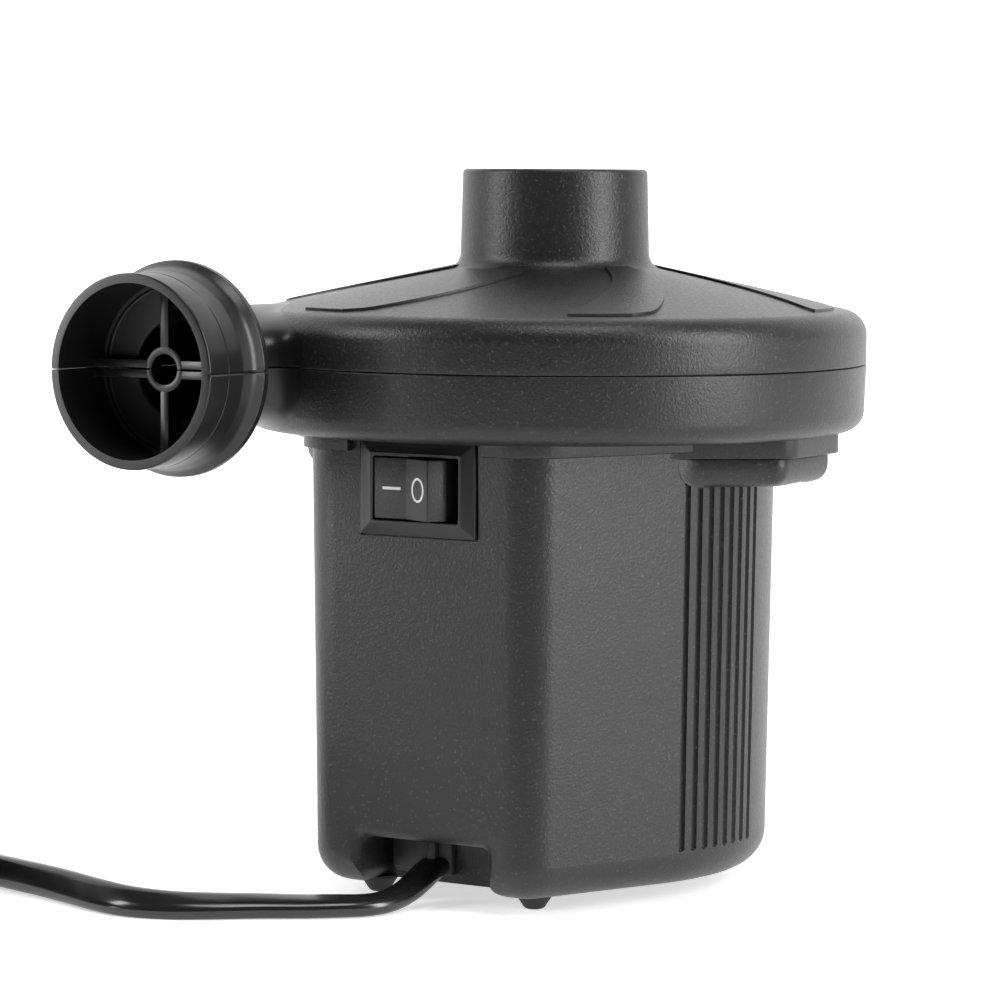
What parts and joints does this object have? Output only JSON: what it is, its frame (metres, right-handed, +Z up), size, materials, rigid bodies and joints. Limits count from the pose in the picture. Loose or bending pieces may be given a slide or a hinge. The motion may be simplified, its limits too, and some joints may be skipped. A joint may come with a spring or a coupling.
{
  "type": "electric air mattress pump",
  "caption": "Mains electric air pump for inflatables: round fan housing on a motor body, with an inlet collar on top, a side outlet nozzle, a rocker switch and a flat cord with a plug.",
  "frame": {"origin": "on the motor axis, at the table under the feet", "axes": "+Z up along the motor axis towards the inlet; the switch and the outlet's mouth face -Y; the outlet is on the -X side"},
  "size_m": [0.1806, 0.1764, 0.1155],
  "materials": {
    "housing_plastic": "fine spark-eroded matte texture, black ABS",
    "rubber_black": "soft matte black",
    "screw_steel": "zinc plated",
    "fan_plastic": "satin natural white",
    "brass_part": "satin",
    "bright_steel": "ground",
    "core_steel": "stamped laminations, lacquered",
    "copper_wire": "enamelled copper wire",
    "copper_bar": "copper, satin",
    "can_steel": "zinc plated, drawn",
    "ferrite": "matte ferrite",
    "end_cap_plastic": "satin black nylon",
    "carbon": "matte carbon",
    "board_laminate": "phenolic board",
    "epoxy_black": "moulded epoxy",
    "capacitor_yellow": "satin box",
    "ceramic_white": "plain white",
    "lead_red": "PVC sleeve",
    "lead_brown": "PVC sleeve",
    "lead_blue": "PVC sleeve",
    "switch_plastic": "satin black nylon",
    "rocker_plastic": "satin black with moulded white marks",
    "cord_rubber": "satin black PVC",
    "cord_pvc": "glossy black PVC sheath",
    "plug_pvc": "satin black PVC moulding"
  },
  "bodies": {
    "root": {"top_cover": "housing_plastic", "lower_volute": "housing_plastic", "motor_housing": "housing_plastic", "feet": "rubber_black", "ear_screws": "screw_steel", "cover_screws": "screw_steel", "motor_can": "can_steel", "magnets": "ferrite", "front_bearing": "brass_part", "rear_bearing": "brass_part", "motor_end_cap": "end_cap_plastic", "brushes": "carbon", "brush_springs": "brass_part", "motor_terminals": "brass_part", "motor_screws": "screw_steel", "motor_damper": "rubber_black", "circuit_board": "board_laminate", "board_screws": "screw_steel", "rectifier_diodes": "epoxy_black", "suppressor_capacitor": "capacitor_yellow", "thermal_fuse": "ceramic_white", "motor_leads": "lead_red", "brown_lead": "lead_brown", "blue_lead": "lead_blue", "switch_frame": "switch_plastic", "switch_terminals": "brass_part", "fixed_contact": "copper_bar", "strain_relief": "cord_rubber", "cord_run": "cord_pvc", "cord_coil": "cord_pvc", "cord_tail": "cord_pvc", "plug_body": "plug_pvc", "plug_pins": "brass_part"},
    "rotor": {"fan_wheel": "fan_plastic", "fan_bush": "brass_part", "motor_shaft": "bright_steel", "armature_core": "core_steel", "armature_windings": "copper_wire", "commutator": "copper_bar"},
    "rocker": {"rocker": "rocker_plastic", "rocker_plunger": "ceramic_white", "rocker_spring": "bright_steel"},
    "contact_arm": {"contact_arm": "copper_bar"}
  },
  "joints": [
    {"name": "motor_spin", "type": "hinge", "parent": "root", "child": "rotor", "pos_m": [0, 0, 0.08], "axis": [0, 0, 1], "continuous": true},
    {"name": "switch_rock", "type": "hinge", "parent": "root", "child": "rocker", "pos_m": [0, -0.0346, 0.066], "axis": [0, 0, 1], "range_deg": [0, 24]},
    {"name": "contact_rock", "type": "hinge", "parent": "root", "child": "contact_arm", "pos_m": [0, -0.029, 0.066], "axis": [0, 0, 1], "range_deg": [-10, 0]}
  ],
  "couplings": [
    {"joint": "contact_rock", "follows": "switch_rock", "ratio": -0.41667}
  ]
}
